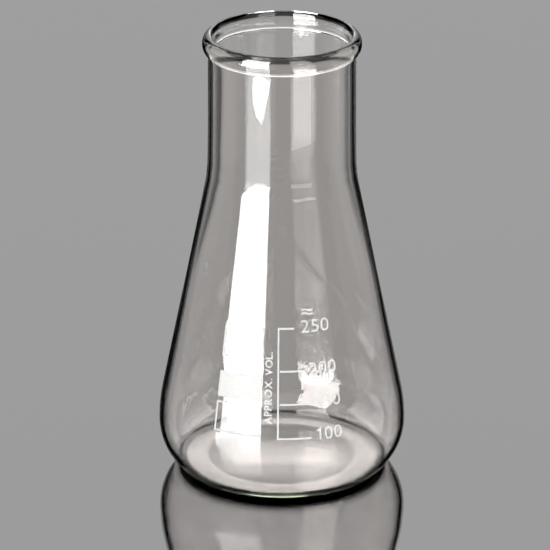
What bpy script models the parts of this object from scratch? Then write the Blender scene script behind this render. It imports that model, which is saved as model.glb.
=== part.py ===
"""A wide-neck conical flask of 300 ml, for a laboratory bench.

One blown borosilicate vessel with a rolled rim, and on its front the white enamel that is printed
and fired on it: a graduated scale with its numbers, a legend, a marking patch and two plain frames.
Each island of enamel is a piece of its own, bonded to the glass. Nothing moves.

Metres, +Z up. The flask stands on z = 0 with its axis on Z, and its scale faces -Y.
"""

import math

import bmesh
import bpy

MM = 0.001

# Vessel, outside
HEIGHT = 156.0 * MM
BODY_RADIUS = 42.5 * MM  # at the widest level
WIDEST_LEVEL = 16.5 * MM
BASE_CORNER_RADIUS = 3.0 * MM
HEEL_RADIUS = 20.5 * MM  # below the widest level
FLANK_RADIUS = 57.0 * MM  # above it, up to the straight cone
SHOULDER_LEVEL = 106.8 * MM  # where the lines of the cone and the neck cross
SHOULDER_RADIUS = 48.0 * MM
NECK_RADIUS = 25.05 * MM  # just under the rim
NECK_TAPER = math.radians(0.22)  # the neck widens downwards by this

# Rolled rim
RIM_HEIGHT = 6.8 * MM
RIM_BULGE = 1.95 * MM  # how far it stands out from the neck
RIM_CREST_OUT = 0.55 * MM  # how far its crest is out from the neck
MOUTH_DEPTH = 5.5 * MM  # how far down the mouth's flare reaches

# Glass thickness and base
WALL = 2.0 * MM
FLOOR = 2.8 * MM
FLOOR_CORNER_RADIUS = 5.0 * MM
STANDING_WIDTH = 7.0 * MM  # width of the flat ring that the flask stands on
PUNT_RISE = 0.9 * MM
FLOOR_RISE = 0.6 * MM

# Enamel
ENAMEL = 0.18 * MM
ENAMEL_GAP = 0.05 * MM
STRIP = 1.2 * MM  # enamel is bent to the glass in strips of this width
BAND = 4.0 * MM  # and in bands of this height
GLYPH_RESOLUTION = 3

# Scale: the spine's meridian, then for each mark its level, its length and its number's place
SCALE_MERIDIAN = math.radians(-2.0)
LINE = 0.6 * MM
SPINE_GAP = 0.3 * MM  # between the spine and the two marks that stand free of it
DIGIT_HEIGHT = 4.3 * MM
DIGIT_WIDE = 1.06
DIGIT_GAP = 0.55 * MM  # between two of the widest figures
NUMBER_GAP = 0.8 * MM
TOP_MARK = {"volume": "250", "level": 62.7 * MM, "length": 6.4 * MM, "number_level": 63.2 * MM}
BOTTOM_MARK = {"volume": "100", "level": 25.5 * MM, "length": 11.6 * MM, "number_level": 26.6 * MM}
FREE_MARKS = (
    {"volume": "200", "level": 48.3 * MM, "length": 9.2 * MM, "number_level": 48.8 * MM},
    {"volume": "150", "level": 37.1 * MM, "length": 10.9 * MM, "number_level": 37.7 * MM},
)
PLACES = ("hundreds", "tens", "units")

# Sign for "about", over the top number
SIGN_WIDTH = 4.0 * MM
SIGN_LINE = 1.1 * MM  # height of one wave
SIGN_PITCH = 1.25 * MM
SIGN_LEVEL = 68.1 * MM
SIGN_FROM_SPINE = 9.6 * MM

# Legend, read upwards beside the spine
LEGEND = "APPROX. VOL."
LEGEND_HEIGHT = 2.7 * MM
LEGEND_LETTER_GAP = 0.28 * MM
LEGEND_WORD_GAP = 1.0 * MM
LEGEND_WIDE = 0.95
LEGEND_BOLD = 0.02
LEGEND_LEVEL = 30.4 * MM
LEGEND_FROM_SPINE = 2.0 * MM  # from the spine to the letters' feet

# Label column: two frames, a capacity and a patch to write on, between two meridians
LABEL_MERIDIANS = (math.radians(-33.6), math.radians(-10.4))
UPPER_FRAME_LEVELS = (51.4 * MM, 62.9 * MM)
PATCH_LEVELS = (37.8 * MM, 46.5 * MM)
LOWER_FRAME_LEVELS = (26.0 * MM, 36.3 * MM)
CAPACITY = "300 ml"
CAPACITY_HEIGHT = 2.5 * MM
CAPACITY_LEVEL = 49.0 * MM
CAPACITY_LETTER_GAP = 0.35 * MM
CAPACITY_WORD_GAP = 1.1 * MM

# Fineness of the turned outline
TURN_STEPS = 72
ARC_STEPS = {"corner": 3, "heel": 6, "flank": 2, "shoulder": 3, "rim": 8, "mouth": 5, "dome": 3}


def clear_scene():
    for obj in list(bpy.data.objects):
        bpy.data.objects.remove(obj, do_unlink=True)


def principled(name, colour, roughness, transmission=0.0, ior=1.5):
    """A Principled material, none of them metallic."""
    material = bpy.data.materials.new(name)
    material.use_nodes = True
    shader = material.node_tree.nodes["Principled BSDF"]
    shader.inputs["Base Color"].default_value = (*colour, 1.0)
    shader.inputs["Roughness"].default_value = roughness
    shader.inputs["Metallic"].default_value = 0.0
    shader.inputs["Transmission Weight"].default_value = transmission
    shader.inputs["IOR"].default_value = ior
    material.diffuse_color = (*colour, 1.0)
    return material


def add_part(name, mesh, material, collection, parent):
    mesh.name = name
    part = bpy.data.objects.new(name, mesh)
    part.data.materials.append(material)
    part.parent = parent
    collection.objects.link(part)
    return part


# Outline of the vessel


def arc(centre, radii, start, end, steps):
    """Points on an ellipse in the (radius, height) plane, both ends included."""
    points = []
    for i in range(steps + 1):
        angle = start + (end - start) * i / steps
        points.append((centre[0] + radii[0] * math.cos(angle), centre[1] + radii[1] * math.sin(angle)))
    return points


def dome(edge_radius, edge_level, rise):
    """A shallow dome's points from the axis to its edge. The edge itself is left to the next stretch."""
    sphere = (edge_radius**2 + rise**2) / (2 * rise)
    edge_angle = math.asin(edge_radius / sphere)
    centre = (0.0, edge_level + rise - sphere)
    quarter = math.pi / 2
    return arc(centre, (sphere, sphere), quarter, quarter - edge_angle, ARC_STEPS["dome"])[:-1]


def neck_radius(level):
    return NECK_RADIUS + (HEIGHT - level) * math.tan(NECK_TAPER)


def cone_angle():
    """The cone's slope from the vertical: its line passes the shoulder point and touches the flank's arc."""
    across = neck_radius(SHOULDER_LEVEL) - (BODY_RADIUS - FLANK_RADIUS)
    up = SHOULDER_LEVEL - WIDEST_LEVEL
    return math.atan2(up, across) - math.acos(FLANK_RADIUS / math.hypot(across, up))


def side_outline(inset, floor, corner_radius):
    """The side's points from the floor's edge up to the neck, on the surface inset inside the outside."""
    heel = HEEL_RADIUS - inset
    heel_centre = (BODY_RADIUS - HEEL_RADIUS, WIDEST_LEVEL)
    drop = WIDEST_LEVEL - floor - corner_radius
    corner_centre = (heel_centre[0] + math.sqrt((heel - corner_radius) ** 2 - drop**2), floor + corner_radius)
    touch = math.atan2(-drop, corner_centre[0] - heel_centre[0])
    corner_radii = (corner_radius, corner_radius)
    points = arc(corner_centre, corner_radii, -math.pi / 2, touch, ARC_STEPS["corner"])
    points += arc(heel_centre, (heel, heel), touch, 0.0, ARC_STEPS["heel"])[1:]

    flank = FLANK_RADIUS - inset
    flank_centre = (BODY_RADIUS - FLANK_RADIUS, WIDEST_LEVEL)
    points += arc(flank_centre, (flank, flank), 0.0, cone_angle(), ARC_STEPS["flank"])[1:]

    reach = SHOULDER_RADIUS * math.tan((cone_angle() - NECK_TAPER) / 2)
    shoulder_centre = (
        neck_radius(SHOULDER_LEVEL) - reach * math.sin(NECK_TAPER) + SHOULDER_RADIUS * math.cos(NECK_TAPER),
        SHOULDER_LEVEL + reach * math.cos(NECK_TAPER) + SHOULDER_RADIUS * math.sin(NECK_TAPER),
    )
    hollow = SHOULDER_RADIUS + inset
    turned = math.pi
    points += arc(
        shoulder_centre, (hollow, hollow), turned + cone_angle(), turned + NECK_TAPER, ARC_STEPS["shoulder"]
    )
    return points


def rim_outline():
    """The mouth's flare, the crest and the rolled outside, from the bore to the neck's outside."""
    crest = NECK_RADIUS + RIM_CREST_OUT
    mouth_level = HEIGHT - MOUTH_DEPTH
    flare = (crest - (neck_radius(mouth_level) - WALL), MOUTH_DEPTH)
    inner = arc((crest, mouth_level), flare, math.pi, math.pi / 2, ARC_STEPS["mouth"])
    roll = (RIM_BULGE - RIM_CREST_OUT, RIM_HEIGHT / 2)
    past_lowest = math.asin(RIM_CREST_OUT / roll[0])
    outer = arc(
        (crest, HEIGHT - roll[1]), roll, math.pi / 2, -math.pi / 2 - past_lowest, ARC_STEPS["rim"]
    )
    return inner + outer[1:]


def vessel_outline():
    """The closed section from the axis over the inside, the rim and the outside to the axis again."""
    inside = side_outline(WALL, FLOOR, FLOOR_CORNER_RADIUS)
    outside = side_outline(0.0, 0.0, BASE_CORNER_RADIUS)
    punt_radius = outside[0][0] - STANDING_WIDTH
    floor_dome = dome(inside[0][0], FLOOR, FLOOR_RISE)
    punt = dome(punt_radius, 0.0, PUNT_RISE) + [(punt_radius, 0.0)]
    return floor_dome + inside + rim_outline() + outside[::-1] + punt[::-1]


def vessel(name, collection, parent):
    """The blown glass: its section turned round the axis."""
    points = vessel_outline()
    mesh = bpy.data.meshes.new(name)
    section = [(radius, 0.0, level) for radius, level in points]
    mesh.from_pydata(section, [(i, i + 1) for i in range(len(section) - 1)], [])
    glass = principled("borosilicate_glass", (0.93, 0.95, 0.94), 0.02, transmission=1.0, ior=1.473)
    part = add_part(name, mesh, glass, collection, parent)
    turn = part.modifiers.new("turn", "SCREW")
    turn.steps = TURN_STEPS
    turn.render_steps = TURN_STEPS
    turn.use_merge_vertices = True
    turn.merge_threshold = 0.01 * MM
    turn.use_smooth_shade = True
    return part


# Enamel: flat artwork, bent to the glass and given its thickness


def outside_radius(level):
    """The vessel's outer radius on the flank or the cone."""
    slope = cone_angle()
    flank_centre = BODY_RADIUS - FLANK_RADIUS
    cone_start = WIDEST_LEVEL + FLANK_RADIUS * math.sin(slope)
    if level > cone_start:
        return flank_centre + FLANK_RADIUS * math.cos(slope) - (level - cone_start) * math.tan(slope)
    return flank_centre + math.sqrt(FLANK_RADIUS**2 - (level - WIDEST_LEVEL) ** 2)


def flat_mesh(curve):
    """The filled face of a flat curve or text, as a mesh. The curve is used up."""
    curve.dimensions = "2D"
    curve.fill_mode = "FRONT"
    holder = bpy.data.objects.new("artwork", curve)
    bpy.context.scene.collection.objects.link(holder)
    graph = bpy.context.evaluated_depsgraph_get()
    mesh = bpy.data.meshes.new_from_object(holder.evaluated_get(graph))
    bpy.data.objects.remove(holder, do_unlink=True)
    bpy.data.curves.remove(curve)
    return mesh


def figure_one(cap):
    """A one with a flag: the built-in font's is a bare stroke."""
    stem, reach = 0.13 * cap, 0.21 * cap
    foot = [(0.0, 0.0), (stem, 0.0), (stem, cap), (0.3 * stem, cap)]
    flag = [(-0.15 * reach, 0.9 * cap), (-reach, 0.85 * cap), (-reach, 0.75 * cap), (0.0, 0.75 * cap)]
    return outline_mesh([foot + flag])


def glyph_mesh(character, bold):
    """One character at its font's own size, filled flat, with its lower left corner as it is set."""
    if character == "1":
        return figure_one(extent(glyph_mesh("H", 0.0))[3])
    text = bpy.data.curves.new("glyph", "FONT")
    text.body = character
    text.size = 1.0
    text.resolution_u = GLYPH_RESOLUTION
    text.offset = bold
    return flat_mesh(text)


def outline_mesh(loops):
    """A flat shape from its closed outlines of straight sides. An inner outline is a hole."""
    curve = bpy.data.curves.new("outline", "CURVE")
    curve.dimensions = "2D"
    for corners in loops:
        spline = curve.splines.new("POLY")
        spline.points.add(len(corners) - 1)
        spline.use_cyclic_u = True
        for point, (across, up) in zip(spline.points, corners):
            point.co = (across, up, 0.0, 1.0)
    return flat_mesh(curve)


def rectangle(low, high):
    return [(low[0], low[1]), (high[0], low[1]), (high[0], high[1]), (low[0], high[1])]


def extent(mesh):
    """(lowest across, highest across, lowest up, highest up) of a flat mesh."""
    across = [vertex.co.x for vertex in mesh.vertices]
    up = [vertex.co.y for vertex in mesh.vertices]
    return min(across), max(across), min(up), max(up)


def place(mesh, scale_across, scale_up, shift_across, shift_up):
    for vertex in mesh.vertices:
        vertex.co.x = vertex.co.x * scale_across + shift_across
        vertex.co.y = vertex.co.y * scale_up + shift_up


def quarter_turn(mesh):
    """Turned to read upwards: what was to the right is up."""
    for vertex in mesh.vertices:
        vertex.co.x, vertex.co.y = -vertex.co.y, vertex.co.x


def enamel(name, mesh, meridian, level, collection, parent):
    """Flat artwork in metres, laid on the glass with its zero point at the meridian and the level."""
    shape = bmesh.new()
    shape.from_mesh(mesh)
    bmesh.ops.remove_doubles(shape, verts=shape.verts, dist=0.001 * MM)
    left, right, low, high = extent(mesh)
    for step, start, end, along in ((STRIP, left, right, (1, 0, 0)), (BAND, low, high, (0, 1, 0))):
        for i in range(math.ceil(start / step), math.floor(end / step) + 1):
            geometry = shape.verts[:] + shape.edges[:] + shape.faces[:]
            cut = [i * step * axis for axis in along]
            bmesh.ops.bisect_plane(shape, geom=geometry, plane_co=cut, plane_no=along)
    around = outside_radius(level)
    for vertex in shape.verts:
        height = level + vertex.co.y * math.cos(cone_angle())
        radius = outside_radius(height) + ENAMEL_GAP
        angle = meridian + vertex.co.x / around
        vertex.co = (radius * math.sin(angle), -radius * math.cos(angle), height)
    shape.to_mesh(mesh)
    shape.free()
    part = add_part(name, mesh, principled(name, (0.93, 0.93, 0.91), 0.3), collection, parent)
    thickness = part.modifiers.new("thickness", "SOLIDIFY")
    thickness.thickness = ENAMEL
    thickness.offset = 1.0
    return part


def slant(height):
    """A distance up the glass, from the same distance measured straight up."""
    return height / math.cos(cone_angle())


def scale_lines(collection, parent):
    """The spine with its two end marks, which are one bracket, and the marks that stand free."""
    rise = slant(TOP_MARK["level"] - BOTTOM_MARK["level"])
    top, bottom = TOP_MARK["length"], BOTTOM_MARK["length"]
    half = LINE / 2
    bracket = [(-half, -half), (bottom, -half), (bottom, half), (half, half)]
    bracket += [(half, rise - half), (top, rise - half), (top, rise + half), (-half, rise + half)]
    mesh = outline_mesh([bracket])
    enamel("scale_bracket", mesh, SCALE_MERIDIAN, BOTTOM_MARK["level"], collection, parent)
    for mark in FREE_MARKS:
        mesh = outline_mesh([rectangle((half + SPINE_GAP, -half), (mark["length"], half))])
        enamel("mark_" + mark["volume"], mesh, SCALE_MERIDIAN, mark["level"], collection, parent)


def scale_numbers(collection, parent):
    """Three figures after each mark, on the pitch that the widest figure asks for."""
    cap = extent(glyph_mesh("H", 0.0))
    size = DIGIT_HEIGHT / (cap[3] - cap[2])
    wide = size * DIGIT_WIDE
    left, right = extent(glyph_mesh("0", 0.0))[:2]
    pitch = wide * (right - left) + DIGIT_GAP
    for mark in (TOP_MARK, *FREE_MARKS, BOTTOM_MARK):
        for i, (figure, where) in enumerate(zip(mark["volume"], PLACES)):
            mesh = glyph_mesh(figure, 0.0)
            left, right = extent(mesh)[:2]
            middle = mark["length"] + NUMBER_GAP + (i + 0.5) * pitch
            place(mesh, wide, size, middle - wide * (left + right) / 2, -DIGIT_HEIGHT / 2)
            name = f"digit_{mark['volume']}_{where}"
            enamel(name, mesh, SCALE_MERIDIAN, mark["number_level"], collection, parent)


def about_sign(collection, parent):
    """Two waves, one over the other."""
    for name, step in (("about_sign_lower", -0.5), ("about_sign_upper", 0.5)):
        mesh = glyph_mesh("~", 0.0)
        left, right, low, high = extent(mesh)
        wide, tall = SIGN_WIDTH / (right - left), SIGN_LINE / (high - low)
        shift = SIGN_FROM_SPINE - wide * (left + right) / 2
        place(mesh, wide, tall, shift, step * SIGN_PITCH - tall * (low + high) / 2)
        enamel(name, mesh, SCALE_MERIDIAN, SIGN_LEVEL, collection, parent)


def set_line(words, height, wide, bold, letter_gap, word_gap):
    """[(character, its flat mesh)], set from zero with even gaps, and the line's length."""
    cap = extent(glyph_mesh("H", bold))
    size = height / (cap[3] - cap[2])
    pen = 0.0
    line = []
    for character in words:
        if character == " ":
            pen += word_gap - letter_gap
            continue
        mesh = glyph_mesh(character, bold)
        left, right = extent(mesh)[:2]
        place(mesh, size * wide, size, pen - size * wide * left, -size * cap[2])
        pen += size * wide * (right - left) + letter_gap
        line.append((character, mesh))
    return line, pen - letter_gap


def legend(collection, parent):
    """The words beside the spine, their feet towards it."""
    line, _ = set_line(
        LEGEND, LEGEND_HEIGHT, LEGEND_WIDE, LEGEND_BOLD, LEGEND_LETTER_GAP, LEGEND_WORD_GAP
    )
    middle_level = (BOTTOM_MARK["level"] + TOP_MARK["level"]) / 2
    meridian = SCALE_MERIDIAN - LEGEND_FROM_SPINE / outside_radius(middle_level)
    for i, (character, mesh) in enumerate(line):
        quarter_turn(mesh)
        letter = "stop" if character == "." else character
        enamel(f"legend_{i + 1}_{letter}", mesh, meridian, LEGEND_LEVEL, collection, parent)


def label_column(collection, parent):
    """Upper frame, capacity, patch and lower frame."""
    middle = sum(LABEL_MERIDIANS) / 2
    sweep = LABEL_MERIDIANS[1] - LABEL_MERIDIANS[0]
    areas = (
        ("upper_frame", UPPER_FRAME_LEVELS, True),
        ("writing_patch", PATCH_LEVELS, False),
        ("lower_frame", LOWER_FRAME_LEVELS, True),
    )
    for name, levels, hollow in areas:
        wide = sweep * outside_radius(levels[0]) / 2
        tall = slant(levels[1] - levels[0])
        loops = [rectangle((-wide, 0.0), (wide, tall))]
        if hollow:
            loops.append(rectangle((LINE - wide, LINE), (wide - LINE, tall - LINE)))
        enamel(name, outline_mesh(loops), middle, levels[0], collection, parent)

    line, length = set_line(
        CAPACITY, CAPACITY_HEIGHT, 1.0, 0.0, CAPACITY_LETTER_GAP, CAPACITY_WORD_GAP
    )
    for i, (character, mesh) in enumerate(line):
        place(mesh, 1.0, 1.0, -length / 2, -CAPACITY_HEIGHT / 2)
        enamel(f"capacity_{i + 1}_{character}", mesh, middle, CAPACITY_LEVEL, collection, parent)


clear_scene()
flask_parts = bpy.data.collections.new("conical_flask")
bpy.context.scene.collection.children.link(flask_parts)
flask = bpy.data.objects.new("flask", None)
flask_parts.objects.link(flask)
vessel("glass_body", flask_parts, flask)
scale_lines(flask_parts, flask)
scale_numbers(flask_parts, flask)
about_sign(flask_parts, flask)
legend(flask_parts, flask)
label_column(flask_parts, flask)
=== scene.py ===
import math

import bmesh
import bpy
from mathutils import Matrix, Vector
from mathutils import noise


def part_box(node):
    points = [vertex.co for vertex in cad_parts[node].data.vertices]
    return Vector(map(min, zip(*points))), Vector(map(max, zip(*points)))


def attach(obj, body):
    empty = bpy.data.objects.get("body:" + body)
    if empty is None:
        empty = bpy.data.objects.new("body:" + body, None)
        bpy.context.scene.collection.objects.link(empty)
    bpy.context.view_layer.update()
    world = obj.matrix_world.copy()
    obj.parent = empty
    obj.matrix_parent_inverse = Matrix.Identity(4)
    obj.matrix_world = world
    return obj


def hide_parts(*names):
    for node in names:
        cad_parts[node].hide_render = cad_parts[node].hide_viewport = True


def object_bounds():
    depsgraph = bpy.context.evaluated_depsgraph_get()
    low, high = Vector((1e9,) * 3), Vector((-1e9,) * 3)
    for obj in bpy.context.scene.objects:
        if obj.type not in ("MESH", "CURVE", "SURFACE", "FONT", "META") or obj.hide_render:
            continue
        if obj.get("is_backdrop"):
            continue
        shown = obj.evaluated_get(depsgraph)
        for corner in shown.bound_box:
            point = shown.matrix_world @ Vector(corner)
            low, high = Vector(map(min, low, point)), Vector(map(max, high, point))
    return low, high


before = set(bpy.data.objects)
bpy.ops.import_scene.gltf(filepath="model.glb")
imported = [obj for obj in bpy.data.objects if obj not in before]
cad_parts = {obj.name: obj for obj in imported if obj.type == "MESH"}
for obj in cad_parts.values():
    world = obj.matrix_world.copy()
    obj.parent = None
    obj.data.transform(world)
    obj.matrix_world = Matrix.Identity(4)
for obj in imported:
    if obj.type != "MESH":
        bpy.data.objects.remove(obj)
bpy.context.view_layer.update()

# The blown vessel. One continuous wall of clear borosilicate glass, blown in a turning mould: a flat base
# with a raised middle, a rounded heel, a straight cone, a short neck and a rim that is rolled outwards and
# melted smooth. Blowing leaves the wall thickest at the neck and the floor, and never quite even.

MM = 0.001
glass_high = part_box("glass_body")[1]
HEIGHT = glass_high.z
BODY_RADIUS = glass_high.x
WIDEST_LEVEL = 16.5 * MM
BASE_CORNER_RADIUS = 3.0 * MM
HEEL_RADIUS = 20.5 * MM
FLANK_RADIUS = 57.0 * MM
SHOULDER_LEVEL = 106.8 * MM
SHOULDER_RADIUS = 48.0 * MM
NECK_RADIUS = 25.05 * MM
NECK_TAPER = math.radians(0.22)
NECK_BLEND = 20.0 * MM  # how far the neck's line is followed above the shoulder
FLARE = 0.22 * MM  # the mould is a little wider round the shoulder
FLARE_LEVELS = (72.0 * MM, 108.0 * MM, 131.0 * MM)  # begins, is widest, has gone
RIM_HEIGHT = 6.8 * MM
RIM_BULGE = 1.95 * MM
RIM_CREST_IN = 0.5 * MM
RIM_FILLET = 0.5 * MM
MOUTH_DEPTH = 4.0 * MM
NECK_WALL = 2.2 * MM
HEEL_WALL = 1.3 * MM
THIN_BELOW = 60.0 * MM
FLOOR_THICKNESS = 2.8 * MM
FLOOR_CORNER_RADIUS = 4.5 * MM
STANDING_WIDTH = 7.0 * MM  # of the flat ring that it stands on
PUNT_RISE = 1.4 * MM  # the middle of the base is pushed up
FLOOR_RISE = 0.6 * MM
WALL_SWELL = 0.12 * MM  # how far the inner face wanders in and out
SWELL_TURN = 1.1  # waves round the vessel
SWELL_LENGTH = 45.0 * MM  # a wave's length up the wall
CALM_FLOOR = 12.0 * MM  # the swell fades towards the axis and towards the rim
CALM_RIM = 14.0 * MM
TURN_STEPS = 240
COARSE_STEP = 1.6 * MM
HEEL_STEP = 0.5 * MM
FLANK_STEP = 0.8 * MM
SHOULDER_STEP = 0.7 * MM
CORNER_STEP = 0.25 * MM
RIM_STEP = 0.2 * MM
FILLET_STEP = 0.1 * MM
GLASS_CLEAR = (1.0, 0.975, 0.968, 1.0)
GLASS_CLOUDED = (1.0, 0.968, 0.958, 1.0)
GLASS_THROUGH = (0.80, 0.97, 0.66, 1.0)  # what a long way through the glass leaves of white light
GLASS_DENSITY = 12.0
GLASS_IOR = 1.473
NOISE_USED = (0.3, 0.7)  # the part of the noise's range that is spread from Low to High
STREAK_WIDTH = 2.5 * MM
STREAK_DRAWN = 9.0
STREAK_DEPTH = 0.002 * MM
CLOUD_SIZE = 14.0 * MM
CLOUD_DRAWN = 3.0


def arc(centre, radii, start, end, step):
    """Points on an ellipse in the (radius, height) plane, about step apart, both ends included."""
    count = max(2, math.ceil(abs(end - start) * max(radii) / step))
    points = []
    for i in range(count + 1):
        angle = start + (end - start) * i / count
        points.append((centre[0] + radii[0] * math.cos(angle), centre[1] + radii[1] * math.sin(angle)))
    return points


def straight(start, end):
    """The points between two points, neither of them included."""
    count = max(1, math.ceil(math.dist(start, end) / COARSE_STEP))
    shares = [i / count for i in range(1, count)]
    return [(start[0] + (end[0] - start[0]) * t, start[1] + (end[1] - start[1]) * t) for t in shares]


def dome(edge_radius, edge_level, rise):
    """A shallow dome from the axis out to its edge, without the edge's own point."""
    sphere = (edge_radius**2 + rise**2) / (2 * rise)
    edge_angle = math.asin(edge_radius / sphere)
    centre = (0.0, edge_level + rise - sphere)
    return arc(centre, (sphere, sphere), math.pi / 2, math.pi / 2 - edge_angle, COARSE_STEP)[:-1]


def share_between(value, start, end):
    return min(1.0, max(0.0, (value - start) / (end - start)))


def neck_radius(level):
    return NECK_RADIUS + (HEIGHT - level) * math.tan(NECK_TAPER)


def flare_at(level):
    """Extra radius: none on the lower cone, most at the shoulder, none again up the neck."""
    begins, widest, gone = FLARE_LEVELS
    return FLARE * share_between(level, begins, widest) * share_between(level, gone, widest) ** 2


def wall_at(level):
    """The wall is full in the neck and thins down the cone to the heel."""
    share = share_between(level, THIN_BELOW, SHOULDER_LEVEL)
    return HEEL_WALL + (NECK_WALL - HEEL_WALL) * share**2 * (3 - 2 * share)


def cone_angle():
    """The cone's lean, which makes it touch the flank's arc and meet the neck's line at the shoulder."""
    across = neck_radius(SHOULDER_LEVEL) - (BODY_RADIUS - FLANK_RADIUS)
    up = SHOULDER_LEVEL - WIDEST_LEVEL
    return math.atan2(up, across) - math.acos(FLANK_RADIUS / math.hypot(across, up))


def side_outline(inset, floor, corner_radius):
    """The side's points from the floor's edge up to the neck, on the surface inset inside the outside."""
    heel = HEEL_RADIUS - inset
    heel_centre = (BODY_RADIUS - HEEL_RADIUS, WIDEST_LEVEL)
    drop = WIDEST_LEVEL - floor - corner_radius
    reach = math.sqrt((heel - corner_radius) ** 2 - drop**2)
    corner_centre = (heel_centre[0] + reach, floor + corner_radius)
    touch = math.atan2(-drop, reach)
    points = arc(corner_centre, (corner_radius, corner_radius), -math.pi / 2, touch, CORNER_STEP)
    points += arc(heel_centre, (heel, heel), touch, 0.0, HEEL_STEP)[1:]
    flank = FLANK_RADIUS - inset
    flank_centre = (BODY_RADIUS - FLANK_RADIUS, WIDEST_LEVEL)
    points += arc(flank_centre, (flank, flank), 0.0, cone_angle(), FLANK_STEP)[1:]
    reach = SHOULDER_RADIUS * math.tan((cone_angle() - NECK_TAPER) / 2)
    shoulder_centre = (
        neck_radius(SHOULDER_LEVEL) - reach * math.sin(NECK_TAPER) + SHOULDER_RADIUS * math.cos(NECK_TAPER),
        SHOULDER_LEVEL + reach * math.cos(NECK_TAPER) + SHOULDER_RADIUS * math.sin(NECK_TAPER),
    )
    hollow = SHOULDER_RADIUS + inset
    lean = math.pi + cone_angle()
    shoulder = arc(shoulder_centre, (hollow, hollow), lean, math.pi + NECK_TAPER, SHOULDER_STEP)
    points += straight(points[-1], shoulder[0]) + shoulder
    top = (shoulder[-1][0] - NECK_BLEND * math.tan(NECK_TAPER), shoulder[-1][1] + NECK_BLEND)
    points += straight(shoulder[-1], top)
    return [(radius + flare_at(level), level) for radius, level in points]


def rim_outline():
    """The mouth's flare, the crest and the rolled outside, with a small fillet into the neck."""
    crest = NECK_RADIUS - RIM_CREST_IN
    mouth_level = HEIGHT - MOUTH_DEPTH
    flare = (crest - (neck_radius(mouth_level) - wall_at(mouth_level)), MOUTH_DEPTH)
    inner = arc((crest, mouth_level), flare, math.pi, math.pi / 2, 1.5 * RIM_STEP)
    roll = (RIM_BULGE + RIM_CREST_IN, RIM_HEIGHT / 2)
    under = math.acos((RIM_CREST_IN + RIM_FILLET / 2) / roll[0])
    outer = arc((crest, HEIGHT - roll[1]), roll, math.pi / 2, -under, RIM_STEP)
    foot = outer[-1]
    fillet_radii = (foot[0] - neck_radius(foot[1]), RIM_FILLET)
    fillet = arc((foot[0], foot[1] - RIM_FILLET), fillet_radii, math.pi / 2, math.pi, FILLET_STEP)
    return inner + outer[1:] + fillet[1:]


def vessel_outline():
    """The section from the axis, up the inside and over the rim to the axis below, and the inside's count."""
    inside = side_outline(HEEL_WALL, FLOOR_THICKNESS, FLOOR_CORNER_RADIUS)
    inside = [(radius - (wall_at(level) - HEEL_WALL), level) for radius, level in inside]
    outside = side_outline(0.0, 0.0, BASE_CORNER_RADIUS)
    rim = rim_outline()
    punt_edge = (outside[0][0] - STANDING_WIDTH, 0.0)
    inner = dome(inside[0][0], FLOOR_THICKNESS, FLOOR_RISE) + inside + straight(inside[-1], rim[0])
    outer = straight(rim[-1], outside[-1]) + outside[::-1] + straight(outside[0], punt_edge)
    punt = dome(punt_edge[0], 0.0, PUNT_RISE) + [punt_edge]
    return inner + rim + outer + punt[::-1], len(inner)


def swell_at(around, radius, level):
    """How far the inner face stands in or out here; nothing at the middle of the floor and at the rim."""
    where = Vector((around.x * SWELL_TURN, around.y * SWELL_TURN, level / SWELL_LENGTH))
    calm = share_between(radius, 0.0, CALM_FLOOR) * share_between(HEIGHT - level, 0.0, CALM_RIM)
    return WALL_SWELL * noise.noise(where) * calm


def vessel_mesh(name):
    """The section turned round the axis."""
    outline, inner_count = vessel_outline()
    shape = bmesh.new()
    rings = []
    for index, (radius, level) in enumerate(outline):
        if radius < 0.001 * MM:
            rings.append([shape.verts.new((0.0, 0.0, level))])
            continue
        ring = []
        for step in range(TURN_STEPS):
            angle = 2 * math.pi * step / TURN_STEPS
            around = Vector((math.sin(angle), -math.cos(angle), 0.0))
            swell = swell_at(around, radius, level) if index < inner_count else 0.0
            spot = around * (radius + swell)
            ring.append(shape.verts.new((spot.x, spot.y, level)))
        rings.append(ring)
    for first, second in zip(rings, rings[1:]):
        for step in range(TURN_STEPS):
            following = (step + 1) % TURN_STEPS
            if len(first) == 1:
                shape.faces.new((first[0], second[following], second[step]))
            elif len(second) == 1:
                shape.faces.new((first[step], first[following], second[0]))
            else:
                shape.faces.new((first[step], first[following], second[following], second[step]))
    bmesh.ops.recalc_face_normals(shape, faces=shape.faces)
    mesh = bpy.data.meshes.new(name)
    shape.to_mesh(mesh)
    shape.free()
    mesh.shade_smooth()
    return mesh


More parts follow.
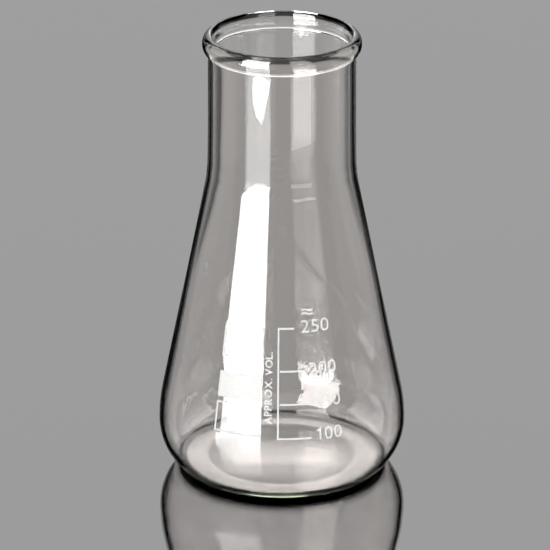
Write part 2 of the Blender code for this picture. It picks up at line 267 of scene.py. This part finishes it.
def wandering_group():
    """A value that drifts between Low and High, in patches of Size metres drawn out upwards by Stretch."""
    group = bpy.data.node_groups.new("wandering", "ShaderNodeTree")
    for name, value in (("Size", 0.01), ("Stretch", 1.0), ("Low", 0.0), ("High", 1.0)):
        socket = group.interface.new_socket(name=name, in_out="INPUT", socket_type="NodeSocketFloat")
        socket.default_value = value
    group.interface.new_socket(name="Value", in_out="OUTPUT", socket_type="NodeSocketFloat")
    nodes, links = group.nodes, group.links
    given = nodes.new("NodeGroupInput")
    result = nodes.new("NodeGroupOutput")
    where = nodes.new("ShaderNodeTexCoord")
    tall = nodes.new("ShaderNodeMath")
    tall.operation = "MULTIPLY"
    patch = nodes.new("ShaderNodeCombineXYZ")
    divide = nodes.new("ShaderNodeVectorMath")
    divide.operation = "DIVIDE"
    drift = nodes.new("ShaderNodeTexNoise")
    drift.inputs["Scale"].default_value = 1.0
    drift.inputs["Detail"].default_value = 3.0
    spread = nodes.new("ShaderNodeMapRange")
    spread.inputs["From Min"].default_value, spread.inputs["From Max"].default_value = NOISE_USED
    links.new(given.outputs["Size"], tall.inputs[0])
    links.new(given.outputs["Stretch"], tall.inputs[1])
    links.new(given.outputs["Size"], patch.inputs["X"])
    links.new(given.outputs["Size"], patch.inputs["Y"])
    links.new(tall.outputs[0], patch.inputs["Z"])
    links.new(where.outputs["Object"], divide.inputs[0])
    links.new(patch.outputs[0], divide.inputs[1])
    links.new(divide.outputs[0], drift.inputs["Vector"])
    links.new(drift.outputs["Fac"], spread.inputs["Value"])
    links.new(given.outputs["Low"], spread.inputs["To Min"])
    links.new(given.outputs["High"], spread.inputs["To Max"])
    links.new(spread.outputs["Result"], result.inputs["Value"])
    return group


wandering = wandering_group()


def wander(tree, size, stretch, low, high):
    """The wandering group placed in a material with its own values; its output."""
    node = tree.nodes.new("ShaderNodeGroup")
    node.node_tree = wandering
    for name, value in (("Size", size), ("Stretch", stretch), ("Low", low), ("High", high)):
        node.inputs[name].default_value = value
    return node.outputs["Value"]


def drifting_colour(tree, factor, first, second):
    mix = tree.nodes.new("ShaderNodeMix")
    mix.data_type = "RGBA"
    tree.links.new(factor, mix.inputs["Factor"])
    mix.inputs["A"].default_value = first
    mix.inputs["B"].default_value = second
    return mix.outputs["Result"]


def raised(tree, height, depth):
    bump = tree.nodes.new("ShaderNodeBump")
    bump.inputs["Distance"].default_value = depth
    tree.links.new(height, bump.inputs["Height"])
    return bump.outputs["Normal"]


def blown_glass():
    """Clear glass with drawn-out streaks that bend light a little, faintly green through its thick parts."""
    material = bpy.data.materials.new("blown_borosilicate")
    material.use_nodes = True
    tree = material.node_tree
    shader = tree.nodes["Principled BSDF"]
    clouds = wander(tree, CLOUD_SIZE, CLOUD_DRAWN, 0.0, 1.0)
    tree.links.new(drifting_colour(tree, clouds, GLASS_CLEAR, GLASS_CLOUDED), shader.inputs["Base Color"])
    streaks = raised(tree, wander(tree, STREAK_WIDTH, STREAK_DRAWN, 0.0, 1.0), STREAK_DEPTH)
    tree.links.new(streaks, shader.inputs["Normal"])
    shader.inputs["Roughness"].default_value = 0.0
    shader.inputs["IOR"].default_value = GLASS_IOR
    shader.inputs["Transmission Weight"].default_value = 1.0
    tint = tree.nodes.new("ShaderNodeVolumeAbsorption")
    tint.inputs["Color"].default_value = GLASS_THROUGH
    tint.inputs["Density"].default_value = GLASS_DENSITY
    tree.links.new(tint.outputs[0], tree.nodes["Material Output"].inputs["Volume"])
    return material


glass = bpy.data.objects.new("blown_vessel", vessel_mesh("blown_vessel"))
bpy.context.scene.collection.objects.link(glass)
glass.data.materials.append(blown_glass())
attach(glass, "root")
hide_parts("glass_body")

# The print's white enamel. Ceramic ink is screened on the outside of the glass, flat artwork wrapped round
# the cone, and fired until it melts on: satin, a little uneven in thickness, with a few pinholes.

PRINT_THICKNESS = 0.05 * MM
PRINT_GAP = 0.004 * MM
STRIP = 0.45 * MM  # the artwork is cut this often across, so that it follows the round glass
BAND = 1.5 * MM  # and this often upwards, so that it follows the flank
LINE = 0.6 * MM
PINHOLE_PITCH = 0.55 * MM
PINHOLE_REACH = (0.10, 0.04)  # from full ink to bare, in shares of the pitch
INK_FULL = (0.84, 0.84, 0.82, 1.0)
INK_THIN = (0.76, 0.76, 0.735, 1.0)
INK_PINHOLE = (0.52, 0.52, 0.51, 1.0)
INK_PATCH = 0.9 * MM  # size of the thin and the full places
SATIN_PATCH = 1.6 * MM
INK_ROUGHNESS = (0.48, 0.62)
INK_SHEEN = 0.25
INK_GRAIN = 0.35 * MM
INK_GRAIN_DEPTH = 0.004 * MM


def fired_enamel():
    material = bpy.data.materials.new("fired_enamel")
    material.use_nodes = True
    tree = material.node_tree
    shader = tree.nodes["Principled BSDF"]
    ink = drifting_colour(tree, wander(tree, INK_PATCH, 1.0, 0.0, 1.0), INK_FULL, INK_THIN)
    where = tree.nodes.new("ShaderNodeTexCoord")
    cells = tree.nodes.new("ShaderNodeTexVoronoi")
    cells.inputs["Scale"].default_value = 1 / PINHOLE_PITCH
    tree.links.new(where.outputs["Object"], cells.inputs["Vector"])
    hole = tree.nodes.new("ShaderNodeMapRange")
    hole.inputs["From Min"].default_value, hole.inputs["From Max"].default_value = PINHOLE_REACH
    tree.links.new(cells.outputs["Distance"], hole.inputs["Value"])
    holed = tree.nodes.new("ShaderNodeMix")
    holed.data_type = "RGBA"
    tree.links.new(hole.outputs["Result"], holed.inputs["Factor"])
    tree.links.new(ink, holed.inputs["A"])
    holed.inputs["B"].default_value = INK_PINHOLE
    tree.links.new(holed.outputs["Result"], shader.inputs["Base Color"])
    tree.links.new(wander(tree, SATIN_PATCH, 1.0, *INK_ROUGHNESS), shader.inputs["Roughness"])
    grain = raised(tree, wander(tree, INK_GRAIN, 1.0, 0.0, 1.0), INK_GRAIN_DEPTH)
    tree.links.new(grain, shader.inputs["Normal"])
    shader.inputs["Specular IOR Level"].default_value = INK_SHEEN
    return material


white = fired_enamel()


def outside_radius(level):
    """The vessel's outside at a level on the cone or the flank."""
    flank_top = WIDEST_LEVEL + FLANK_RADIUS * math.sin(cone_angle())
    if level <= flank_top:
        rise = level - WIDEST_LEVEL
        return BODY_RADIUS - FLANK_RADIUS + math.sqrt(FLANK_RADIUS**2 - rise**2)
    flank_edge = BODY_RADIUS - FLANK_RADIUS * (1 - math.cos(cone_angle()))
    return flank_edge - (level - flank_top) * math.tan(cone_angle())


def slant(height):
    """Length up the cone's side for a height."""
    return height / math.cos(cone_angle())


def filled(curve):
    """A closed flat outline as a filled mesh; the curve is removed."""
    curve.dimensions = "2D"
    curve.fill_mode = "FRONT"
    holder = bpy.data.objects.new("outline", curve)
    bpy.context.scene.collection.objects.link(holder)
    mesh = bpy.data.meshes.new_from_object(holder.evaluated_get(bpy.context.evaluated_depsgraph_get()))
    bpy.data.objects.remove(holder)
    bpy.data.curves.remove(curve)
    return mesh


def polygon(loops):
    curve = bpy.data.curves.new("outline", "CURVE")
    curve.dimensions = "2D"
    for corners in loops:
        spline = curve.splines.new("POLY")
        spline.points.add(len(corners) - 1)
        spline.use_cyclic_u = True
        for point, (across, up) in zip(spline.points, corners):
            point.co = (across, up, 0.0, 1.0)
    return filled(curve)


def rectangle(low, high):
    return [(low[0], low[1]), (high[0], low[1]), (high[0], high[1]), (low[0], high[1])]


def extent(mesh):
    across = [vertex.co.x for vertex in mesh.vertices]
    up = [vertex.co.y for vertex in mesh.vertices]
    return min(across), max(across), min(up), max(up)


def enamel(name, mesh, meridian, level):
    """Flat artwork in metres, laid on the glass with its zero point at the meridian and the level."""
    shape = bmesh.new()
    shape.from_mesh(mesh)
    bmesh.ops.remove_doubles(shape, verts=shape.verts, dist=0.001 * MM)
    left, right, low, high = extent(mesh)
    for step, start, end, along in ((STRIP, left, right, (1, 0, 0)), (BAND, low, high, (0, 1, 0))):
        for i in range(math.ceil(start / step), math.floor(end / step) + 1):
            everything = shape.verts[:] + shape.edges[:] + shape.faces[:]
            cut = [i * step * axis for axis in along]
            bmesh.ops.bisect_plane(shape, geom=everything, plane_co=cut, plane_no=along)
    around = outside_radius(level)
    for vertex in shape.verts:
        height = level + vertex.co.y * math.cos(cone_angle())
        radius = outside_radius(height) + PRINT_GAP
        angle = meridian + vertex.co.x / around
        vertex.co = (radius * math.sin(angle), -radius * math.cos(angle), height)
    shape.to_mesh(mesh)
    shape.free()
    deposit = bpy.data.objects.new(name + "_print", mesh)
    bpy.context.scene.collection.objects.link(deposit)
    mesh.materials.append(white)
    thickness = deposit.modifiers.new("thickness", "SOLIDIFY")
    thickness.thickness = PRINT_THICKNESS
    thickness.offset = 1.0
    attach(deposit, "root")
    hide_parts(name)


# The scale. A spine with the marks for 250 and 100 is one printed bracket; the marks for 200 and 150 stand
# a hair's width free of it.

SCALE_MERIDIAN = math.radians(-2.0)
SPINE_GAP = 0.3 * MM
TOP_MARK = {"volume": "250", "level": 62.7 * MM, "length": 6.4 * MM, "number_level": 63.2 * MM}
BOTTOM_MARK = {"volume": "100", "level": 25.5 * MM, "length": 11.6 * MM, "number_level": 26.6 * MM}
FREE_MARKS = (
    {"volume": "200", "level": 48.3 * MM, "length": 9.2 * MM, "number_level": 48.8 * MM},
    {"volume": "150", "level": 37.1 * MM, "length": 10.9 * MM, "number_level": 37.7 * MM},
)

rise = slant(TOP_MARK["level"] - BOTTOM_MARK["level"])
half = LINE / 2
bracket = [(-half, -half), (BOTTOM_MARK["length"], -half), (BOTTOM_MARK["length"], half), (half, half)]
bracket += [(half, rise - half), (TOP_MARK["length"], rise - half)]
bracket += [(TOP_MARK["length"], rise + half), (-half, rise + half)]
enamel("scale_bracket", polygon([bracket]), SCALE_MERIDIAN, BOTTOM_MARK["level"])
for mark in FREE_MARKS:
    stroke = polygon([rectangle((half + SPINE_GAP, -half), (mark["length"], half))])
    enamel("mark_" + mark["volume"], stroke, SCALE_MERIDIAN, mark["level"])

# The scale's numbers, three figures to a mark, each figure a deposit of its own. They are set in a plain
# sans-serif, on one pitch, with a 1 that has a short flag and no foot.

DIGIT_HEIGHT = 4.3 * MM
DIGIT_WIDE = 1.06
DIGIT_GAP = 0.55 * MM  # between two of the widest figures
DIGIT_BOLD = -0.006
NUMBER_GAP = 0.8 * MM  # from a mark's end to its number
PLACES = ("hundreds", "tens", "units")
GLYPH_RESOLUTION = 8


def placed(mesh, scale_across, scale_up, shift_across, shift_up):
    for vertex in mesh.vertices:
        vertex.co.x = vertex.co.x * scale_across + shift_across
        vertex.co.y = vertex.co.y * scale_up + shift_up
    return mesh


def glyph(character, bold):
    """A character's filled outline in the typeface's own units."""
    if character == "1":
        cap = extent(glyph("H", 0.0))[3]
        stem, reach = 0.13 * cap, 0.21 * cap
        foot = [(0.0, 0.0), (stem, 0.0), (stem, cap), (0.3 * stem, cap)]
        flag = [(-0.15 * reach, 0.9 * cap), (-reach, 0.85 * cap), (-reach, 0.75 * cap), (0.0, 0.75 * cap)]
        return polygon([foot + flag])
    text = bpy.data.curves.new("glyph", "FONT")
    text.body = character
    text.size = 1.0
    text.resolution_u = GLYPH_RESOLUTION
    text.offset = bold
    return filled(text)


cap = extent(glyph("H", 0.0))
size = DIGIT_HEIGHT / (cap[3] - cap[2])
wide = size * DIGIT_WIDE
left, right = extent(glyph("0", 0.0))[:2]
pitch = wide * (right - left) + DIGIT_GAP
for mark in (TOP_MARK, *FREE_MARKS, BOTTOM_MARK):
    for i, (figure, where) in enumerate(zip(mark["volume"], PLACES)):
        mesh = glyph(figure, DIGIT_BOLD)
        left, right = extent(mesh)[:2]
        middle = mark["length"] + NUMBER_GAP + (i + 0.5) * pitch
        placed(mesh, wide, size, middle - wide * (left + right) / 2, -DIGIT_HEIGHT / 2)
        enamel(f"digit_{mark['volume']}_{where}", mesh, SCALE_MERIDIAN, mark["number_level"])

# The sign for "about" over the top number: two short waves, one above the other, each a separate deposit
# of the same ink.

SIGN_WIDTH = 4.0 * MM
SIGN_LINE = 1.1 * MM
SIGN_PITCH = 1.25 * MM
SIGN_LEVEL = 68.1 * MM
SIGN_FROM_SPINE = 9.6 * MM

for name, step in (("about_sign_lower", -0.5), ("about_sign_upper", 0.5)):
    mesh = glyph("~", 0.0)
    left, right, low, high = extent(mesh)
    across, tall = SIGN_WIDTH / (right - left), SIGN_LINE / (high - low)
    shift = SIGN_FROM_SPINE - across * (left + right) / 2
    placed(mesh, across, tall, shift, step * SIGN_PITCH - tall * (low + high) / 2)
    enamel(name, mesh, SCALE_MERIDIAN, SIGN_LEVEL)

# The legend, which says that the scale is approximate. It is read upwards beside the spine, in bold
# capitals, and every letter and full stop is a deposit of its own.

LEGEND = "APPROX. VOL."
LEGEND_HEIGHT = 2.7 * MM
LEGEND_LETTER_GAP = 0.28 * MM
LEGEND_WORD_GAP = 1.0 * MM
LEGEND_WIDE = 0.95
LEGEND_BOLD = 0.02
LEGEND_LEVEL = 30.4 * MM
LEGEND_FROM_SPINE = 2.0 * MM


def set_line(words, height, wide, bold, letter_gap, word_gap):
    """A line of separate letters as (character, mesh) pairs from zero rightwards, and the line's length."""
    cap = extent(glyph("H", bold))
    size = height / (cap[3] - cap[2])
    pen = 0.0
    letters = []
    for character in words:
        if character == " ":
            pen += word_gap - letter_gap
            continue
        mesh = glyph(character, bold)
        left, right = extent(mesh)[:2]
        letters.append((character, placed(mesh, size * wide, size, pen - size * wide * left, -size * cap[2])))
        pen += size * wide * (right - left) + letter_gap
    return letters, pen - letter_gap


legend_gaps = (LEGEND_LETTER_GAP, LEGEND_WORD_GAP)
letters, length = set_line(LEGEND, LEGEND_HEIGHT, LEGEND_WIDE, LEGEND_BOLD, *legend_gaps)
middle_level = (BOTTOM_MARK["level"] + TOP_MARK["level"]) / 2
legend_meridian = SCALE_MERIDIAN - LEGEND_FROM_SPINE / outside_radius(middle_level)
for i, (character, mesh) in enumerate(letters):
    for vertex in mesh.vertices:
        vertex.co.x, vertex.co.y = -vertex.co.y, vertex.co.x
    character = "stop" if character == "." else character
    enamel(f"legend_{i + 1}_{character}", mesh, legend_meridian, LEGEND_LEVEL)

# The label column, left of the legend: an empty frame, the capacity, a solid patch that takes pencil, and a
# second empty frame.

LABEL_MERIDIANS = (math.radians(-33.6), math.radians(-10.4))
LABEL_BLOCKS = (
    {"name": "upper_frame", "levels": (51.4 * MM, 62.9 * MM), "hollow": True},
    {"name": "writing_patch", "levels": (37.8 * MM, 46.5 * MM), "hollow": False},
    {"name": "lower_frame", "levels": (26.0 * MM, 36.3 * MM), "hollow": True},
)
CAPACITY = "300 ml"
CAPACITY_HEIGHT = 2.5 * MM
CAPACITY_LEVEL = 49.0 * MM
CAPACITY_LETTER_GAP = 0.35 * MM
CAPACITY_WORD_GAP = 1.1 * MM

label_meridian = sum(LABEL_MERIDIANS) / 2
sweep = LABEL_MERIDIANS[1] - LABEL_MERIDIANS[0]
for block in LABEL_BLOCKS:
    low, high = block["levels"]
    half_width = sweep * outside_radius(low) / 2
    tall = slant(high - low)
    loops = [rectangle((-half_width, 0.0), (half_width, tall))]
    if block["hollow"]:
        loops.append(rectangle((LINE - half_width, LINE), (half_width - LINE, tall - LINE)))
    enamel(block["name"], polygon(loops), label_meridian, low)

letters, length = set_line(CAPACITY, CAPACITY_HEIGHT, 1.0, 0.0, CAPACITY_LETTER_GAP, CAPACITY_WORD_GAP)
for i, (character, mesh) in enumerate(letters):
    placed(mesh, 1.0, 1.0, -length / 2, -CAPACITY_HEIGHT / 2)
    enamel(f"capacity_{i + 1}_{character}", mesh, label_meridian, CAPACITY_LEVEL)

# The table under the flask: a large polished black sheet. What it shows is the backdrop and, more faintly,
# the flask mirrored in it.

TABLE_SIDE = 30.0
TABLE_DROP = 0.02 * MM  # keeps the table off the glass that stands on it
TABLE_IOR = 1.5
TABLE_ROUGHNESS = (0.010, 0.014)
WEAR_PATCH = 40 * MM

bpy.ops.mesh.primitive_plane_add(size=TABLE_SIDE, location=(0, 0, -TABLE_DROP))
table = bpy.context.object
table.name = "table"
polish = bpy.data.materials.new("polished_table")
polish.use_nodes = True
shader = polish.node_tree.nodes["Principled BSDF"]
shader.inputs["Base Color"].default_value = (0.0, 0.0, 0.0, 1.0)
shader.inputs["IOR"].default_value = TABLE_IOR
wear = wander(polish.node_tree, WEAR_PATCH, 1.0, *TABLE_ROUGHNESS)
polish.node_tree.links.new(wear, shader.inputs["Roughness"])
table.data.materials.append(polish)
table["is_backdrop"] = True

# The studio round it, as one glow all round: a pale backdrop that gets brighter upwards as a lit sweep does,
# with darker gaps between its panels, which draw the flask's dark edges.

BACKDROP_SEEN = 0.333
EDGE_DARK = 0.02
SWEEP_LOW, SWEEP_RISE, SWEEP_CURVE = 0.36, 1.2, 10.5  # keep the table as bright as the backdrop behind it
SWEEP_LIMIT = 3.5
SWEEP_TOP_DIM = 0.12
SHEEN_SHARE = 0.85
WINDOW_GLOW = 5.0
FRONT_GLOW = 0.8
CEILING_GLOW = 2.5

world = bpy.data.worlds.new("studio")
bpy.context.scene.world = world
world.use_nodes = True
nodes, links = world.node_tree.nodes, world.node_tree.links
nodes.clear()


def math_node(operation, *values):
    node = nodes.new("ShaderNodeMath")
    node.operation = operation
    for socket, value in zip(node.inputs, values):
        if isinstance(value, (int, float)):
            socket.default_value = value
        else:
            links.new(value, socket)
    return node.outputs[0]


def product(*values):
    result = values[0]
    for value in values[1:]:
        result = math_node("MULTIPLY", result, value)
    return result


def around_ramp(stops):
    """Brightness over the compass, from (degrees from +Y towards -X, brightness) pairs."""
    node = nodes.new("ShaderNodeValToRGB")
    ramp = node.color_ramp
    for i, (degrees, bright) in enumerate(stops):
        where = (degrees + 180) / 360
        stop = ramp.elements[i] if i < 2 else ramp.elements.new(where)
        stop.position = where
        stop.color = (bright, bright, bright, 1)
    links.new(azimuth, node.inputs[0])
    return node.outputs[0]


def rising(low, high):
    """0 below the height low, 1 above the height high; heights are the sine of the elevation."""
    node = nodes.new("ShaderNodeMapRange")
    links.new(up, node.inputs["Value"])
    node.inputs["From Min"].default_value = low
    node.inputs["From Max"].default_value = high
    return node.outputs[0]


def falling(low, high):
    return math_node("SUBTRACT", 1.0, rising(low, high))


def blend(factor, first, second):
    return math_node("ADD", product(math_node("SUBTRACT", 1.0, factor), first), product(factor, second))


coords = nodes.new("ShaderNodeTexCoord")
split = nodes.new("ShaderNodeSeparateXYZ")
links.new(coords.outputs["Generated"], split.inputs[0])
path = nodes.new("ShaderNodeLightPath")
leftwards = math_node("MULTIPLY", split.outputs["X"], -1.0)
turn = math_node("ARCTAN2", leftwards, split.outputs["Y"])
azimuth = math_node("MULTIPLY_ADD", turn, 1 / (2 * math.pi), 0.5)
up = math_node("MAXIMUM", split.outputs["Z"], 0.0)

sweep_slope = math_node("MULTIPLY_ADD", up, SWEEP_CURVE, SWEEP_RISE)
sweep_glow = math_node("MINIMUM", math_node("MULTIPLY_ADD", sweep_slope, up, SWEEP_LOW), SWEEP_LIMIT)
sweep_glow = product(sweep_glow, math_node("MAXIMUM", falling(0.52, 0.60), SWEEP_TOP_DIM))
panels = around_ramp(((-147, 0), (-146, 1), (-124, 1), (-123, 0), (-101, 0), (-100, 1), (-42, 1), (-40, 0),
                      (-18, 0), (-10, 1), (9.5, 1), (10.5, 0), (37, 0), (38, 1), (101, 1), (102, 0)))
open_side = around_ramp(((-110, 0), (-100, 1), (101, 1), (110, 0)))
between_panels = product(rising(0.08, 0.14), falling(0.62, 0.72))
joined = product(open_side, math_node("SUBTRACT", 1.0, between_panels))
panels = math_node("MAXIMUM", panels, joined)
backdrop = math_node("MAXIMUM", product(sweep_glow, panels), EDGE_DARK)

sides = around_ramp(((-95, 0), (-88, 1), (-60, 1), (-50, 0), (50, 0), (60, 1), (88, 1), (95, 0)))
side_glow = product(sides, math_node("MAXIMUM", math_node("MULTIPLY_ADD", up, -3.0, 1.3), 0.0))
behind = around_ramp(((-30, 0), (-18, 1), (18, 1), (30, 0)))
sheen = math_node("ADD", side_glow, product(behind, sweep_glow, SHEEN_SHARE))
mirrored = product(path.outputs["Is Singular Ray"], path.outputs["Is Reflection Ray"])
glow = blend(mirrored, backdrop, sheen)

window = around_ramp(((-168, 0), (-167, 1), (-137, 1), (-136, 0)))
glow = math_node("ADD", glow, product(window, rising(0.312, 0.316), falling(0.80, 0.84), WINDOW_GLOW))
front_side = around_ramp(((-108, 1), (-100, 0), (100, 0), (108, 1)))
glow = math_node("MAXIMUM", glow, product(front_side, rising(0.42, 0.50), FRONT_GLOW))
ceiling = product(rising(0.72, 0.80), path.outputs["Is Diffuse Ray"], CEILING_GLOW)
glow = math_node("MAXIMUM", glow, ceiling)
glow = blend(path.outputs["Is Camera Ray"], glow, BACKDROP_SEEN)
background = nodes.new("ShaderNodeBackground")
background.inputs["Color"].default_value = (1, 1, 1, 1)
links.new(glow, background.inputs["Strength"])
out = nodes.new("ShaderNodeOutputWorld")
links.new(background.outputs[0], out.inputs["Surface"])
bpy.context.scene.view_settings.view_transform = "Standard"

# The lamps, which the glass mirrors as white strips: a tall soft box on the left with its foot near the
# table, a low bar on the right, a lit sheet that lies on the table, and a soft key that lights the enamel.

SHEET_LEVEL = 0.5 * MM
SHEET_STEPS = 6
SOFTBOX = 22.0
BAR = 12.0
SHEET = 3.2
KEY_SIDE = 0.6
KEY_WATTS = 9.0
KEY_PLACE = (-0.5, -0.9, 0.7)
KEY_AIM = (0.0, 0.0, 0.05)


def lamp_panel(name, points, strength, glass_only):
    """A glowing flat panel, out of the camera's sight. With glass_only it shows only straight off polished
    glass, so it leaves no mark on the table."""
    mesh = bpy.data.meshes.new(name)
    mesh.from_pydata(points, [], [list(range(len(points)))])
    material = bpy.data.materials.new(name)
    material.use_nodes = True
    tree = material.node_tree
    tree.nodes.clear()
    lamp = tree.nodes.new("ShaderNodeEmission")
    lamp.inputs["Strength"].default_value = strength
    end = tree.nodes.new("ShaderNodeOutputMaterial")
    tree.links.new(lamp.outputs[0], end.inputs["Surface"])
    if glass_only:
        seen_in = tree.nodes.new("ShaderNodeLightPath")
        clear = tree.nodes.new("ShaderNodeBsdfTransparent")
        either = tree.nodes.new("ShaderNodeMixShader")
        tree.links.new(seen_in.outputs["Is Singular Ray"], either.inputs["Fac"])
        tree.links.new(clear.outputs[0], either.inputs[1])
        tree.links.new(lamp.outputs[0], either.inputs[2])
        tree.links.new(either.outputs[0], end.inputs["Surface"])
    mesh.materials.append(material)
    panel = bpy.data.objects.new(name, mesh)
    panel.visible_camera = False
    panel.visible_diffuse = False
    bpy.context.scene.collection.objects.link(panel)
    panel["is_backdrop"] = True
    return panel


def upright(name, facing, distance, corners, strength, glass_only=False):
    """A panel on end. Facing is in degrees from -Y towards -X; a corner is (metres sideways, height)."""
    angle = math.radians(facing)
    away = Vector((-math.sin(angle), -math.cos(angle), 0)) * distance
    side = Vector((math.cos(angle), -math.sin(angle), 0))
    points = [tuple(away + side * across + Vector((0, 0, height))) for across, height in corners]
    lamp_panel(name, points, strength, glass_only)


def sheet(name, azimuths, distances, strength):
    """A glowing sector flat on the table."""
    shares = [i / SHEET_STEPS for i in range(SHEET_STEPS + 1)]
    ring = [(distances[0], azimuths[0] + (azimuths[1] - azimuths[0]) * t) for t in shares]
    ring += [(distances[1], azimuths[1] + (azimuths[0] - azimuths[1]) * t) for t in shares]
    turns = [(d, math.radians(a)) for d, a in ring]
    points = [(-d * math.sin(a), -d * math.cos(a), SHEET_LEVEL) for d, a in turns]
    lamp_panel(name, points, strength, glass_only=True).visible_transmission = False


upright("softbox_left", 38.5, 0.75, [(0.266, 0.0), (0.266, 0.9), (-0.29, 0.9), (-0.255, 0.0)], SOFTBOX)
upright("softbox_foot", 40, 0.40,
        [(0.162, 0.008), (0.059, 0.0), (0.0, 0.004), (-0.035, 0.010), (-0.036, 0.022),
         (-0.15, 0.030), (-0.15, 0.10), (0.152, 0.10), (0.152, 0.03)], SOFTBOX)
upright("low_bar", -34, 0.60, [(-0.195, 0.0475), (-0.195, 0.0525), (0.195, 0.0285), (0.195, 0.0235)], BAR,
        glass_only=True)
sheet("table_sheet", (-13, -44), (0.385, 0.47), SHEET)

key = bpy.data.lights.new("key", "AREA")
key.size = KEY_SIDE
key.energy = KEY_WATTS
key_holder = bpy.data.objects.new("key", key)
key_holder.location = KEY_PLACE
key_holder.rotation_euler = (Vector(KEY_AIM) - Vector(KEY_PLACE)).to_track_quat("-Z", "Y").to_euler()
key_holder.visible_camera = False
key_holder.visible_glossy = False
key_holder.visible_transmission = False
bpy.context.scene.collection.objects.link(key_holder)

# The camera looks down on the flask's front from a little over twenty degrees, through a long lens that
# keeps the sides nearly parallel.

FILM = 36.0
LENS = 324.7
AIM_LEVEL = 70.0 * MM
CAMERA_ASIDE = -2.4 * MM
CAMERA_DISTANCE = 1.7
CAMERA_ELEVATION = math.radians(21.413)
CAMERA_DIP = math.radians(21.452)

camera = bpy.data.cameras.new("camera")
camera.sensor_width = FILM
camera.lens = LENS
camera.clip_end = 2 * TABLE_SIDE
tripod = bpy.data.objects.new("camera", camera)
bpy.context.scene.collection.objects.link(tripod)
back = CAMERA_DISTANCE * math.cos(CAMERA_ELEVATION)
tripod.location = (CAMERA_ASIDE, -back, AIM_LEVEL + CAMERA_DISTANCE * math.sin(CAMERA_ELEVATION))
tripod.rotation_euler = (math.pi / 2 - CAMERA_DIP, 0, 0)
bpy.context.scene.camera = tripod

# The box round everything of the model that is shown, in metres, without the table and the lamp panels.

bpy.context.view_layer.update()
low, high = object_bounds()
